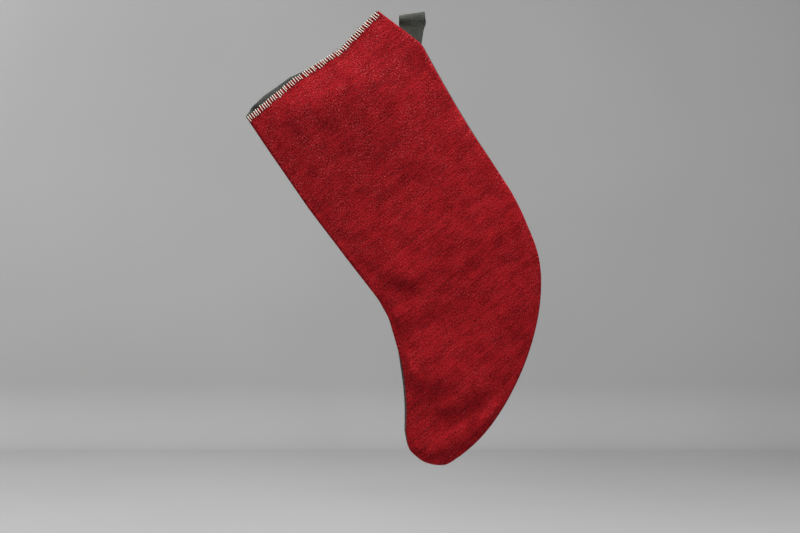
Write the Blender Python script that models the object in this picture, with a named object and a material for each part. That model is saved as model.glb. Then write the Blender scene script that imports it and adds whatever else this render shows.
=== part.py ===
"""Hanging stocking: a wool front panel and a canvas back panel sewn together round the edge with the
seam allowances turned in, and a folded tape loop caught in the heel-side seam just below the mouth.

Metres, +Z up.  The origin is the inner top of the loop's eye, where a line or a hook carries it.
+X is the heel side and -Y the wool front.  The pieces are drawn as the sewing pattern is, with u
across the mouth and v down the leg, and the pattern is then turned to the angle at which it hangs.
"""

import math

import bmesh
import bpy
import numpy as np
from mathutils import Vector

MM = 0.001

# how the pattern hangs: the seam point in the middle of the loop, and the turn of the mouth line
HANG_TILT = math.radians(39.4)
LOOP_SEAM_V = 39.5 * MM
LOOP_SEAM_X = -1.5 * MM
LOOP_SEAM_Z = -21.8 * MM

# the outline, as sewn (u across from the toe-side corner of the mouth, v down the leg)
MOUTH_WIDTH = 170.0 * MM
SHOULDER = (182.3 * MM, 53.0 * MM)
FRONT_EDGE_LEG = [(0, 0), (-5, 50), (-8.5, 105), (-10.5, 165), (-13.5, 225)]
FRONT_EDGE_FOOT = [(-13.5, 225), (-20.5, 254), (-38, 291), (-59, 323), (-76, 342.5)]
TOE_ROUND = [(-76, 342.5), (-84, 356.5), (-84.5, 366), (-80, 380), (-67, 392.8), (-50, 395)]
SOLE = [(-50, 395), (-20, 393), (22, 381.5), (66, 360), (106, 330), (135, 295), (150.5, 254), (157.5, 225)]
HEEL_EDGE_LEG = [(157.5, 225), (161.5, 190), (165.7, 150), (173.5, 100), (182.3, 53)]
MEDIAL_END = (-54.0 * MM, 368.0 * MM)
LEG_RIBS = 17
FOOT_RIBS = 18
TOE_RIBS = 8

# the cloths and how they are folded in at the seam
WOOL = 2.2 * MM
WOOL_FOLD = 1.9 * MM
CANVAS = 0.9 * MM
CANVAS_FOLD = 1.0 * MM
ALLOWANCE = 8.0 * MM
ALLOWANCE_SPREAD = 0.8 * MM
FOLD_STEPS = 4
FACE_STEPS = (0.06, 0.14, 0.28, 0.5, 0.75, 1.0)
SEAM_GAP = 0.3 * MM
CLEARANCE = 0.3 * MM

# how far each face stands off its folded edge in the middle, and over what distance it gets there
WOOL_SWELL = 2.2 * MM
CANVAS_SWELL = 13.4 * MM
SWELL_REACH = 16.0 * MM
MOUTH_FLAT = 90.0 * MM

# the mouth edges: (u, v) of each cloth's own cut, the wool one dipping towards the heel side
WOOL_MOUTH = [(0, 0), (30, -0.8), (57, -1.4), (85, 1.5), (116, 5.6), (143, 2), (170, 0)]
CANVAS_MOUTH = [(0, -1), (28, -6), (60, -5), (90, 1.5), (116, 6.5), (143, 4), (170, 2)]
MOUTH_FADE = 70.0 * MM
HEM_DEPTH = 11.0 * MM
HEM_INSET = 1.5 * MM
HEM_STITCH = 8.5 * MM

# the loop: tape folded over, its ends sewn in between the allowances
TAPE = 1.2 * MM
TAPE_WIDTH = 26.0 * MM
TAPE_SEAM_WIDTH = 27.6 * MM
TAPE_LEFT_X = -13.0 * MM
TAPE_GAP = 0.3 * MM
TAIL_DEPTH = 9.0 * MM
BEND_HEIGHT = 4.6 * MM
EYE_BOTTOM_Z = -8.3 * MM
EYE_FLANK_LOW_Z = -6.2 * MM
EYE_FLANK_TOP_Z = -2.4 * MM
EYE_HALF_GAP = 3.0 * MM
SEAM_OPEN_RAMP = 18.0 * MM
SEAM_OPEN_REACH = 60.0 * MM

# threads
THREAD = 0.5 * MM
OVERLOCK_PITCH = 2.05 * MM
OVERLOCK_DEPTH = 4.6 * MM
BAND = 0.4 * MM
BAND_DEPTH = 3.6 * MM
BELOW_MOUTH = 7.5 * MM
TAPE_STITCH_INSET = 1.8 * MM
TAPE_STITCH_START = 3.0 * MM
STITCH_GROOVE = 0.15 * MM
STITCH_STRIP = 3.4 * MM

WOOL_RED = (0.235, 0.012, 0.017)
CANVAS_GREY = (0.052, 0.058, 0.058)
CREAM = (0.71, 0.62, 0.48)
GREY_THREAD = (0.085, 0.09, 0.09)


def smooth_path(points, count):
    """count + 1 points, evenly spaced, on a Catmull-Rom curve through the given ones."""
    knots = np.array(points, float)
    knots = np.vstack([2 * knots[0] - knots[1], knots, 2 * knots[-1] - knots[-2]])
    dense = []
    for before, start, end, after in zip(knots, knots[1:], knots[2:], knots[3:]):
        for t in np.linspace(0, 1, 24, endpoint=False):
            dense.append(0.5 * (2 * start + (end - before) * t
                                + (2 * before - 5 * start + 4 * end - after) * t ** 2
                                + (3 * start - before - 3 * end + after) * t ** 3))
    dense = np.array(dense + [knots[-2]])
    run = np.concatenate([[0], np.cumsum(np.linalg.norm(np.diff(dense, axis=0), axis=1))])
    at = np.linspace(0, run[-1], count + 1)
    return np.column_stack([np.interp(at, run, column) for column in dense.T])


def in_metres(points):
    return [(u * MM, v * MM) for u, v in points]


def seam_outline():
    """The seam as one run of points: mouth's toe-side corner, toe, sole, heel, mouth's heel-side corner."""
    front_leg = smooth_path(in_metres(FRONT_EDGE_LEG), LEG_RIBS)
    front_foot = smooth_path(in_metres(FRONT_EDGE_FOOT), FOOT_RIBS)
    toe = smooth_path(in_metres(TOE_ROUND), TOE_RIBS)
    sole = smooth_path(in_metres(SOLE), FOOT_RIBS)
    shoulder_ribs = 4
    heel_leg = smooth_path(in_metres(HEEL_EDGE_LEG), LEG_RIBS - shoulder_ribs)
    shoulder = smooth_path([SHOULDER, (MOUTH_WIDTH, 0.0)], shoulder_ribs)
    runs = [front_leg, front_foot[1:], toe[1:], sole[1:], heel_leg[1:], shoulder[1:]]
    return np.vstack(runs)


OUTLINE = seam_outline()
RIBS = len(OUTLINE)
TOE_START = LEG_RIBS + FOOT_RIBS
TOE_END = TOE_START + TOE_RIBS


def inward_normals():
    ahead = np.gradient(OUTLINE, axis=0)
    ahead /= np.linalg.norm(ahead, axis=1)[:, None]
    normals = np.column_stack([ahead[:, 1], -ahead[:, 0]])
    return normals


NORMALS = inward_normals()


def depth_inside(point):
    """Distance of a pattern point from the seam outline."""
    start = OUTLINE[:-1]
    run = OUTLINE[1:] - start
    along = np.clip(((point - start) * run).sum(1) / (run ** 2).sum(1), 0, 1)
    return float(np.linalg.norm(point - start - run * along[:, None], axis=1).min())


def medial_point(rib):
    """Where a rib from the seam meets the rib from the other side."""
    mirrored = RIBS - 1 - rib
    if TOE_START <= rib <= TOE_END:
        return np.array(MEDIAL_END)
    middle = (OUTLINE[rib] + OUTLINE[mirrored]) / 2
    left = min(rib, mirrored)
    if left > LEG_RIBS:
        share = ((left - LEG_RIBS) / FOOT_RIBS) ** 3
        middle = middle * (1 - share) + np.array(MEDIAL_END) * share
    return middle


def smoothstep(x):
    x = min(max(x, 0.0), 1.0)
    return x * x * (3 - 2 * x)


def seam_half_gap(u, v, depth):
    """Half the gap between the two cloths at the seam: it opens where the tape's ends lie between them."""
    if u < MOUTH_WIDTH / 2:
        return SEAM_GAP / 2
    beyond = max(abs(v - LOOP_SEAM_V) - TAPE_SEAM_WIDTH / 2 - 1.5 * MM, 0.0)
    opened = TAPE + TAPE_GAP / 2 + CLEARANCE - SEAM_GAP / 2
    near = (1 - smoothstep(beyond / SEAM_OPEN_RAMP)) * (1 - smoothstep(depth / SEAM_OPEN_REACH))
    return SEAM_GAP / 2 + opened * near


def mouth_shift(cut, u, v):
    """How far the cloth's own mouth cut moves a pattern point down the leg."""
    us, vs = np.array(in_metres(cut)).T
    fade = max(0.0, 1 - max(v, 0.0) / MOUTH_FADE) ** 2
    return float(np.interp(u, us, vs)) * fade


def place(u, v, y):
    """Pattern point to its hanging place."""
    seam_u = MOUTH_WIDTH + (SHOULDER[0] - MOUTH_WIDTH) * LOOP_SEAM_V / SHOULDER[1]
    du = u - seam_u
    dv = v - LOOP_SEAM_V
    x = LOOP_SEAM_X + du * math.cos(HANG_TILT) + dv * math.sin(HANG_TILT)
    z = LOOP_SEAM_Z + du * math.sin(HANG_TILT) - dv * math.cos(HANG_TILT)
    return Vector((x, y, z))


class Cloth:
    """One panel's cloth: which side it is on, how thick, how it folds in, swells and is cut at the mouth."""

    def __init__(self, side, thickness, fold, swell, cut):
        self.side = side
        self.thickness = thickness
        self.fold = fold
        self.swell = swell
        self.cut = cut

    def allowance_y(self, u, v, depth):
        spread = ALLOWANCE_SPREAD * max(depth - self.fold, 0.0) / ALLOWANCE
        return seam_half_gap(u, v, 0.0) + self.thickness / 2 + spread

    def face_y(self, u, v, depth):
        edge = seam_half_gap(u, v, depth) + self.thickness / 2 + 2 * self.fold
        centre = self.fold + self.thickness / 2
        rise = 1 - math.exp(-max(depth - centre, 0.0) / SWELL_REACH)
        flat = 1.0
        if self.side < 0:
            flat = 0.3 + 0.7 * smoothstep(v / MOUTH_FLAT)
        return edge + self.swell * rise * flat

    def face_point(self, rib, depth, lift=0.0):
        """A point on the face this far in from the seam, lifted off the cloth's middle."""
        u, v = OUTLINE[rib] + NORMALS[rib] * depth
        y = self.face_y(u, v, depth) + lift
        return place(u, v + mouth_shift(self.cut, u, v), self.side * y)

    def allowance_point(self, rib, depth, lift=0.0):
        """The same on the turned-in allowance; a positive lift is towards the pocket."""
        u, v = OUTLINE[rib] + NORMALS[rib] * depth
        y = self.allowance_y(*OUTLINE[rib], depth) + lift
        return place(u, v + mouth_shift(self.cut, u, v), self.side * y)

    def rib_points(self, rib):
        """The cloth's middle surface along one rib: allowance, fold, face, up to the medial line."""
        seam = OUTLINE[rib]
        normal = NORMALS[rib]
        centre = self.fold + self.thickness / 2
        points = [self.allowance_point(rib, ALLOWANCE), self.allowance_point(rib, centre + 1.2 * MM)]
        root = self.allowance_y(*seam, 0.0)
        for step in range(1, FOLD_STEPS):
            angle = math.pi * step / FOLD_STEPS
            u, v = seam + normal * (centre - self.fold * math.sin(angle))
            y = root + self.fold * (1 - math.cos(angle))
            points.append(place(u, v + mouth_shift(self.cut, u, v), self.side * y))
        start = seam + normal * centre
        end = medial_point(rib)
        for share in (0.0,) + FACE_STEPS:
            u, v = start + (end - start) * share
            y = self.face_y(u, v, depth_inside(np.array([u, v])))
            points.append(place(u, v + mouth_shift(self.cut, u, v), self.side * y))
        return points


FRONT = Cloth(-1, WOOL, WOOL_FOLD, WOOL_SWELL, WOOL_MOUTH)
BACK = Cloth(1, CANVAS, CANVAS_FOLD, CANVAS_SWELL, CANVAS_MOUTH)


def add_material(thing, colour, roughness):
    material = bpy.data.materials.get(thing.name) or bpy.data.materials.new(thing.name)
    material.use_nodes = True
    shader = material.node_tree.nodes["Principled BSDF"]
    shader.inputs["Base Color"].default_value = (*colour, 1.0)
    shader.inputs["Roughness"].default_value = roughness
    shader.inputs["Metallic"].default_value = 0.0
    thing.data.materials.append(material)


def add_object(name, data, holder, colour, roughness):
    thing = bpy.data.objects.new(name, data)
    bpy.context.scene.collection.objects.link(thing)
    thing.parent = holder
    thing.location = -holder.location
    add_material(thing, colour, roughness)
    return thing


def mesh_from(build, name):
    """A mesh from a bmesh, its faces turned outwards and shaded smooth."""
    bmesh.ops.recalc_face_normals(build, faces=build.faces)
    mesh = bpy.data.meshes.new(name)
    build.to_mesh(mesh)
    build.free()
    mesh.shade_smooth()
    return mesh


def sheet_grid(build, rows):
    """Faces between rows of vertices."""
    for low, high in zip(rows, rows[1:]):
        for a, b, c, d in zip(low, low[1:], high[1:], high):
            corners = []
            for corner in (a, b, c, d):
                if corner not in corners:
                    corners.append(corner)
            if len(corners) > 2:
                build.faces.new(corners)


def mouth_face_point(cloth, u, down, lift):
    """A point beside the mouth edge: u across, down the leg from the cut, lifted off the cloth's middle."""
    columns = mouth_columns(cloth)
    low = max(down, 0.0)
    shifts = [mouth_shift(cloth.cut, column, 0.0) for column in columns]
    heights = [cloth.face_y(column, low, depth_inside(np.array([column, low]))) for column in columns]
    y = float(np.interp(u, columns, heights)) + lift
    return place(u, down + float(np.interp(u, columns, shifts)), cloth.side * y)


def mouth_columns(cloth):
    """Where the panel's columns cross the mouth, from the toe side to the heel side."""
    reach = cloth.fold + cloth.thickness / 2
    shares = np.array((0.0,) + FACE_STEPS)
    toe_side = reach + (MOUTH_WIDTH / 2 - reach) * shares
    return np.concatenate([toe_side, MOUTH_WIDTH - toe_side[-2::-1]])


def panel_mesh(cloth, name, hemmed):
    """A panel's middle surface, ribs running in from the seam and meeting on the medial line."""
    build = bmesh.new()
    medial = {}
    rows = []
    for rib in range(RIBS):
        points = cloth.rib_points(rib)
        key = min(rib, RIBS - 1 - rib)
        if TOE_START <= rib <= TOE_END:
            key = TOE_START
        if key not in medial:
            medial[key] = build.verts.new(points[-1])
        rows.append([build.verts.new(point) for point in points[:-1]] + [medial[key]])
    sheet_grid(build, rows)
    if hemmed:
        face = FOLD_STEPS + 1
        mouth = rows[0][face:] + rows[-1][face:-1][::-1]
        mouth_us = mouth_columns(cloth)
        turned = [mouth]
        for down, inset in ((-0.2 * MM, 0.9 * MM), (2.0 * MM, HEM_INSET), (HEM_DEPTH, HEM_INSET)):
            turned.append([build.verts.new(mouth_face_point(cloth, u, down, -inset)) for u in mouth_us])
        sheet_grid(build, turned)
    return mesh_from(build, name)


def add_panel(name, cloth, holder, colour, hemmed):
    panel = add_object(name, panel_mesh(cloth, name, hemmed), holder, colour, 0.95)
    thickness = panel.modifiers.new("cloth thickness", "SOLIDIFY")
    thickness.thickness = cloth.thickness
    thickness.offset = 0.0
    thickness.use_even_offset = True
    return panel


def ribs_below_mouth():
    """Ribs whose seam point lies clear of the mouth's own stitching."""
    return [rib for rib in range(RIBS) if OUTLINE[rib][1] > BELOW_MOUTH]


def tube_mesh(name, rings):
    """A closed solid through rings of points, with its two ends filled."""
    build = bmesh.new()
    loops = [[build.verts.new(point) for point in ring] for ring in rings]
    for near, far in zip(loops, loops[1:]):
        for a, b, c, d in zip(near, near[1:] + near[:1], far[1:] + far[:1], far):
            build.faces.new((a, b, c, d))
    build.faces.new(loops[0][::-1])
    build.faces.new(loops[-1])
    return mesh_from(build, name)


def add_edge_overlock(name, cloth, holder, colour):
    """The overlock round an allowance's raw edge: a thin band over its pocket side and its end."""
    rings = []
    half = cloth.thickness / 2
    for rib in ribs_below_mouth():
        inner = ALLOWANCE - BAND_DEPTH
        outer = ALLOWANCE + CLEARANCE
        near = half + CLEARANCE
        far = near + BAND
        profile = [(inner, near), (inner, far), (outer + BAND, far), (outer + BAND, -half),
                   (outer, -half), (outer, near)]
        rings.append([cloth.allowance_point(rib, depth, lift) for depth, lift in profile])
    return add_object(name, tube_mesh(name, rings), holder, colour, 0.85)


def add_thread(name, points, holder, colour, resolution=0):
    """A sewing thread as a thin tube along its run."""
    curve = bpy.data.curves.new(name, "CURVE")
    curve.dimensions = "3D"
    curve.bevel_depth = THREAD / 2
    curve.bevel_resolution = resolution
    curve.use_fill_caps = True
    spline = curve.splines.new("POLY")
    spline.points.add(len(points) - 1)
    for knot, point in zip(spline.points, points):
        knot.co = (*point, 1.0)
    return add_object(name, curve, holder, colour, 0.8)


def add_seam_thread(name, cloth, holder, colour):
    lift = cloth.thickness / 2 + CLEARANCE + THREAD / 2
    depth = cloth.fold + cloth.thickness / 2 + 0.2 * MM
    points = [cloth.allowance_point(rib, depth, lift) for rib in ribs_below_mouth()]
    return add_thread(name, points, holder, colour)


def add_mouth_overlock(holder):
    """Cream thread wrapped over the wool's raw mouth edge, over to the inside and back for each stitch."""
    first = 4.5 * MM
    stitches = int((MOUTH_WIDTH - 2 * first) / OVERLOCK_PITCH)
    off = WOOL / 2 + CLEARANCE + THREAD / 2
    corner = 0.5 * MM
    wrap = [(OVERLOCK_DEPTH, off), (-off + corner, off), (-off, 0.0),
            (-off + corner, -off), (OVERLOCK_DEPTH, -off)]
    points = []
    for stitch in range(stitches):
        over = wrap if stitch % 2 == 0 else wrap[::-1]
        for down, lift in over:
            points.append(mouth_face_point(FRONT, first + OVERLOCK_PITCH * stitch, down, lift))
    return add_thread("mouth_overlock", points, holder, CREAM)


def add_hem_thread(name, inside, holder):
    """One thread of the canvas hem's stitching, on the outer face or inside the turned hem."""
    lift = CANVAS / 2 + 1.5 * CLEARANCE + THREAD / 2
    if inside:
        lift = -(lift + HEM_INSET)
    points = [mouth_face_point(BACK, u, HEM_STITCH, lift) for u in mouth_columns(BACK)[2:-2]]
    return add_thread(name, points, holder, GREY_THREAD)


def shoulder_frame():
    """Where the tape leaves the seam: its two ends on the bend line and the outward direction."""
    along = Vector((*SHOULDER, 0.0)) - Vector((MOUTH_WIDTH, 0.0, 0.0))
    along.normalize()
    seam_u = MOUTH_WIDTH + (SHOULDER[0] - MOUTH_WIDTH) * LOOP_SEAM_V / SHOULDER[1]
    middle = Vector((seam_u, LOOP_SEAM_V, 0.0))
    half = along * TAPE_SEAM_WIDTH / 2
    start = middle - half
    end = middle + half
    near = place(start.x, start.y, 0.0)
    far = place(end.x, end.y, 0.0)
    direction = (far - near).normalized()
    outwards = Vector((-direction.z, 0.0, direction.x))
    return near, far, outwards


SEAM_NEAR, SEAM_FAR, OUTWARDS = shoulder_frame()
BEND_NEAR = SEAM_NEAR + OUTWARDS * BEND_HEIGHT
BEND_FAR = SEAM_FAR + OUTWARDS * BEND_HEIGHT
BEND_MIDDLE = (BEND_NEAR + BEND_FAR) / 2


STITCH_ACROSS = 1 - TAPE_STITCH_INSET / TAPE_WIDTH


def loop_profile(across):
    """The tape's outer and inner points round the loop at one place across its width."""
    bend = BEND_NEAR.lerp(BEND_FAR, across)
    leg_y = TAPE_GAP / 2
    flank = EYE_HALF_GAP + TAPE
    outer = []
    inner = []
    for angle in (-0.45, 0.0, 0.45):
        nose = (TAPE + leg_y) * math.cos(angle * math.pi)
        outer.append(bend - OUTWARDS * nose + Vector((0, math.sin(angle * math.pi) * (TAPE + leg_y), 0)))
        inner.append(bend + Vector((0, math.sin(angle * math.pi) * leg_y * 0.9, 0)))
    pulled_in = STITCH_GROOVE if abs(across - STITCH_ACROSS) < 0.001 else 0.0
    outer_side = [(TAPE + leg_y - pulled_in, EYE_BOTTOM_Z), (flank, EYE_FLANK_LOW_Z), (flank, EYE_FLANK_TOP_Z)]
    inner_side = [(leg_y, EYE_BOTTOM_Z + 0.5 * MM), (EYE_HALF_GAP, EYE_FLANK_LOW_Z + 0.3 * MM),
                  (EYE_HALF_GAP, EYE_FLANK_TOP_Z)]
    top_outer = TAPE - EYE_FLANK_TOP_Z
    top_inner = -EYE_FLANK_TOP_Z
    for angle in (0.18, 0.34):
        turn = angle * math.pi
        outer_side.append((flank * math.cos(turn), EYE_FLANK_TOP_Z + top_outer * math.sin(turn)))
        inner_side.append((EYE_HALF_GAP * math.cos(turn), EYE_FLANK_TOP_Z + top_inner * math.sin(turn)))
    x = TAPE_LEFT_X + TAPE_WIDTH * across
    leg_low = bend + OUTWARDS * 0.4 * MM
    leg_outer = leg_low + Vector((0, TAPE + leg_y - pulled_in, 0))
    back_outer = [leg_outer] + [Vector((x, y, z)) for y, z in outer_side]
    back_inner = [leg_low + Vector((0, leg_y, 0))] + [Vector((x, y, z)) for y, z in inner_side]
    top = [Vector((x, 0, TAPE))]
    hole_top = [Vector((x, 0, 0))]
    front_outer = [Vector((p.x, -p.y, p.z)) for p in reversed(back_outer)]
    front_inner = [Vector((p.x, -p.y, p.z)) for p in reversed(back_inner)]
    return (outer + back_outer + top + front_outer, inner + back_inner + hole_top + front_inner)


def hanging_loop_mesh():
    """The tape round the eye, in columns across its width; the stitching pulls it in along one of them."""
    build = bmesh.new()
    outers = []
    inners = []
    flat = 1 - STITCH_STRIP / TAPE_WIDTH
    for across in (0.0, flat / 4, flat / 2, flat * 3 / 4, flat, STITCH_ACROSS, 1.0):
        outer, inner = loop_profile(across)
        outers.append([build.verts.new(point) for point in outer])
        inners.append([build.verts.new(point) for point in inner])
    for skins in (outers, inners):
        for near, far in zip(skins, skins[1:]):
            for a, b, c, d in zip(near, near[1:] + near[:1], far[1:] + far[:1], far):
                build.faces.new((a, b, c, d))
    for outer, inner in ((outers[0], inners[0]), (outers[-1], inners[-1])):
        for a, b, c, d in zip(outer, outer[1:] + outer[:1], inner[1:] + inner[:1], inner):
            build.faces.new((a, b, c, d))
    return mesh_from(build, "hanging_loop")


def loop_tails_mesh():
    """The tape's two ends as one flat tab, from just under the bend line down between the allowances."""
    build = bmesh.new()
    half = TAPE + TAPE_GAP / 2
    top = half + CLEARANCE
    low = BEND_HEIGHT + TAIL_DEPTH
    rows = []
    for drop in (top, BEND_HEIGHT + 1.0 * MM, low):
        row = []
        for bend in (BEND_NEAR, BEND_FAR):
            for y in (-half, half):
                row.append(build.verts.new(bend - OUTWARDS * drop + Vector((0, y, 0))))
        rows.append([row[0], row[1], row[3], row[2]])
    for high, down in zip(rows, rows[1:]):
        for a, b, c, d in zip(high, high[1:] + high[:1], down[1:] + down[:1], down):
            build.faces.new((a, b, c, d))
    build.faces.new(rows[0])
    build.faces.new(rows[-1][::-1])
    return mesh_from(build, "loop_tails")


def loop_stitch_points(inside):
    """The run of stitching beside the tape's open edge, round the outer face or across the eye."""
    outer, inner = loop_profile(STITCH_ACROSS)
    off = CLEARANCE + THREAD / 2
    nose = 3
    flank = nose + 2
    if inside:
        path = inner[flank:-2]
        centre = Vector((path[0].x, 0, (EYE_FLANK_LOW_Z + EYE_FLANK_TOP_Z) / 2))
        return [point + (centre - point).normalized() * off for point in path]
    path = outer[nose:]
    for end, next_in in ((0, 1), (-1, -2)):
        leg = path[next_in] - path[end]
        path[end] = path[end] + leg.normalized() * TAPE_STITCH_START
    points = []
    for before, point, after in zip(path[:1] + path, path, path[1:] + path[-1:]):
        run = (after - before).normalized()
        points.append(point + run.cross(Vector((1, 0, 0))).normalized() * off)
    return points


def add_holder(name, location):
    holder = bpy.data.objects.new(name, None)
    holder.location = location
    bpy.context.scene.collection.objects.link(holder)
    return holder


def main():
    for thing in list(bpy.data.objects):
        bpy.data.objects.remove(thing)

    loop_holder = add_holder("loop_body", Vector((0, 0, 0)))
    stocking = add_holder("stocking_body", BEND_MIDDLE)

    add_panel("front_panel", FRONT, stocking, WOOL_RED, hemmed=False)
    add_panel("back_panel", BACK, stocking, CANVAS_GREY, hemmed=True)
    add_edge_overlock("front_edge_overlock", FRONT, stocking, CREAM)
    add_edge_overlock("back_edge_overlock", BACK, stocking, CREAM)
    add_seam_thread("seam_needle_thread", FRONT, stocking, GREY_THREAD)
    add_seam_thread("seam_bobbin_thread", BACK, stocking, GREY_THREAD)
    add_mouth_overlock(stocking)
    add_hem_thread("hem_needle_thread", False, stocking)
    add_hem_thread("hem_bobbin_thread", True, stocking)
    add_object("loop_tails", loop_tails_mesh(), stocking, CANVAS_GREY, 0.95)

    add_object("hanging_loop", hanging_loop_mesh(), loop_holder, CANVAS_GREY, 0.95)
    add_thread("loop_needle_thread", loop_stitch_points(False), loop_holder, GREY_THREAD)
    add_thread("loop_bobbin_thread", loop_stitch_points(True), loop_holder, GREY_THREAD)


main()
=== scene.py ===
import math

import bpy
import numpy as np
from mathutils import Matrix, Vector


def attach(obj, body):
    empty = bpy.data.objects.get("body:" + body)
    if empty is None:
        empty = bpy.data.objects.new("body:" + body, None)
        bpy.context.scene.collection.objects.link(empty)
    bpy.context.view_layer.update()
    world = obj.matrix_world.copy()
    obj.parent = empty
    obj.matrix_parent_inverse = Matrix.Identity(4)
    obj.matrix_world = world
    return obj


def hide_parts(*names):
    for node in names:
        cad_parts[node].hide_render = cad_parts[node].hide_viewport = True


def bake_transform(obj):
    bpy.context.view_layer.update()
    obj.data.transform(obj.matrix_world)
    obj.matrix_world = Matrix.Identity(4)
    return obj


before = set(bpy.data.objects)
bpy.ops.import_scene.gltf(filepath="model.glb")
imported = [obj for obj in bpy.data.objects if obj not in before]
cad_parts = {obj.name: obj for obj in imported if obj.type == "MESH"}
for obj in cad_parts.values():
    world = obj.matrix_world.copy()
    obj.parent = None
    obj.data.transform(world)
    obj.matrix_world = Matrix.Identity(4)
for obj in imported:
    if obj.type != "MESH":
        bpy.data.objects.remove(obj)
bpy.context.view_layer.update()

# The camera. It looks level and straight at the wool front, from far enough away
# that the flat stocking shows almost no perspective.
MM = 0.001
lens = bpy.data.cameras.new("camera")
lens.lens = 72.0
lens.sensor_width = 36.0
camera = bpy.data.objects.new("camera", lens)
camera.location = (-12.0 * MM, -1608.0 * MM, -253.3 * MM)
camera.rotation_euler = (math.radians(90), 0.0, 0.0)
bpy.context.scene.collection.objects.link(camera)
bpy.context.scene.camera = camera
bpy.context.scene.view_settings.view_transform = "Standard"


# The room. A sheet of pale grey paper lies on the floor and curves up into the wall behind;
# the stocking hangs in front of it.
class Shade:
    """A socket in a finish. Arithmetic on it adds Math nodes; node() adds a node of any other kind."""

    def __init__(self, tree, socket=None):
        self.tree = tree
        self.socket = socket

    def node(self, kind, settings=None, values=None, out=0):
        made = self.tree.nodes.new("ShaderNode" + kind)
        for name, setting in (settings or {}).items():
            setattr(made, name, setting)
        for name, value in (values or {}).items():
            if isinstance(value, Shade):
                self.tree.links.new(value.socket, made.inputs[name])
            else:
                made.inputs[name].default_value = value
        return Shade(self.tree, made.outputs[out] if len(made.outputs) else None)

    def maths(self, operation, *values):
        return self.node("Math", {"operation": operation}, dict(enumerate(values)))

    def __add__(self, other):
        return self.maths("ADD", self, other)

    def __sub__(self, other):
        return self.maths("SUBTRACT", self, other)

    def __rsub__(self, other):
        return self.maths("SUBTRACT", other, self)

    def __mul__(self, other):
        return self.maths("MULTIPLY", self, other)

    def __truediv__(self, other):
        return self.maths("DIVIDE", self, other)

    def __pow__(self, other):
        return self.maths("POWER", self, other)

    __radd__ = __add__
    __rmul__ = __mul__

    def wave(self):
        """0 in the furrows and 1 on the ridges, one ridge for each whole number."""
        return self.maths("ABSOLUTE", (self * math.pi).maths("SINE", self * math.pi))

    def from_to(self, low, high):
        """0 below low, 1 above high, soft between."""
        limits = {"Value": self, "From Min": low, "From Max": high}
        return self.node("MapRange", {"interpolation_type": "SMOOTHSTEP"}, limits)

    def stretched(self, across, down):
        """Cloth places drawn out, so that a noise read there runs along the yarn."""
        return self.node("VectorMath", {"operation": "MULTIPLY"}, {0: self, 1: (across, down, 1.0)})

    def mottle(self, size, detail=2.0):
        """Soft noise, about 0.5 in the middle, in patches of this size in the places' own units."""
        return self.node("TexNoise", None, {"Vector": self, "Scale": 1.0 / size, "Detail": detail})

    def mixed(self, first, second):
        """first where this is 0 and second where it is 1."""
        return self.node("Mix", {"data_type": "RGBA"}, {0: self, 6: first, 7: second}, 2)


def colour(red, green, blue):
    return (red, green, blue, 1.0)


def finish(name, describe):
    """A material whose look comes from describe(shade), a dictionary of its surface's sockets."""
    material = bpy.data.materials.new(name)
    material.use_nodes = True
    material.node_tree.nodes.clear()
    shade = Shade(material.node_tree)
    surface = shade.node("BsdfPrincipled", None, describe(shade))
    shade.node("OutputMaterial", None, {"Surface": surface})
    return material


def paper(shade):
    places = shade.node("TexCoord", out="Object")
    clouds = places.mottle(0.6).from_to(0.3, 0.7)
    pale = clouds.mixed(colour(0.43, 0.43, 0.425), colour(0.45, 0.45, 0.445))
    return {"Base Color": pale, "Roughness": 0.95, "Specular IOR Level": 0.1}


def shown(name, points, faces, material):
    """An object made of these points, in metres, and faces."""
    mesh = bpy.data.meshes.new(name)
    mesh.from_pydata(np.asarray(points).reshape(-1, 3).tolist(), [], np.asarray(faces).tolist())
    mesh.shade_smooth()
    mesh.materials.append(material)
    piece = bpy.data.objects.new(name, mesh)
    bpy.context.scene.collection.objects.link(piece)
    return piece


def net(rows, columns, start=0, closed=False):
    """Faces between the points of a grid, numbered row by row from start."""
    grid = start + np.arange(rows * columns).reshape(rows, columns)
    if closed:
        grid = np.hstack([grid, grid[:, :1]])
    corners = (grid[:-1, :-1], grid[:-1, 1:], grid[1:, 1:], grid[1:, :-1])
    return np.stack([corner.ravel() for corner in corners], axis=1)


FLOOR = -0.72
WALL = 2.6
BEND = 0.16
sweep = [(-3.5, FLOOR), (WALL - BEND, FLOOR)]
for turn in np.linspace(0, math.pi / 2, 13)[1:]:
    sweep.append((WALL - BEND + BEND * math.sin(turn), FLOOR + BEND - BEND * math.cos(turn)))
sweep.append((WALL, 3.0))
backdrop_points = [(x, y, z) for y, z in sweep for x in (-4.0, 4.0)]
backdrop = shown("backdrop", backdrop_points, net(len(sweep), 2), finish("backdrop_paper", paper))


# The light. One wide soft lamp hangs overhead and in front, and the pale room fills the shadows.
# A weak one grazes the heel's edge from the side, and two more light the canvas back and the wall.
def lamp(name, place, aim, size, watts):
    data = bpy.data.lights.new(name, "AREA")
    data.shape = "DISK"
    data.size = size
    data.energy = watts
    light = bpy.data.objects.new(name, data)
    light.location = place
    away = light.location - Vector(aim)
    light.rotation_euler = away.to_track_quat("Z", "Y").to_euler()
    bpy.context.scene.collection.objects.link(light)


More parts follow.
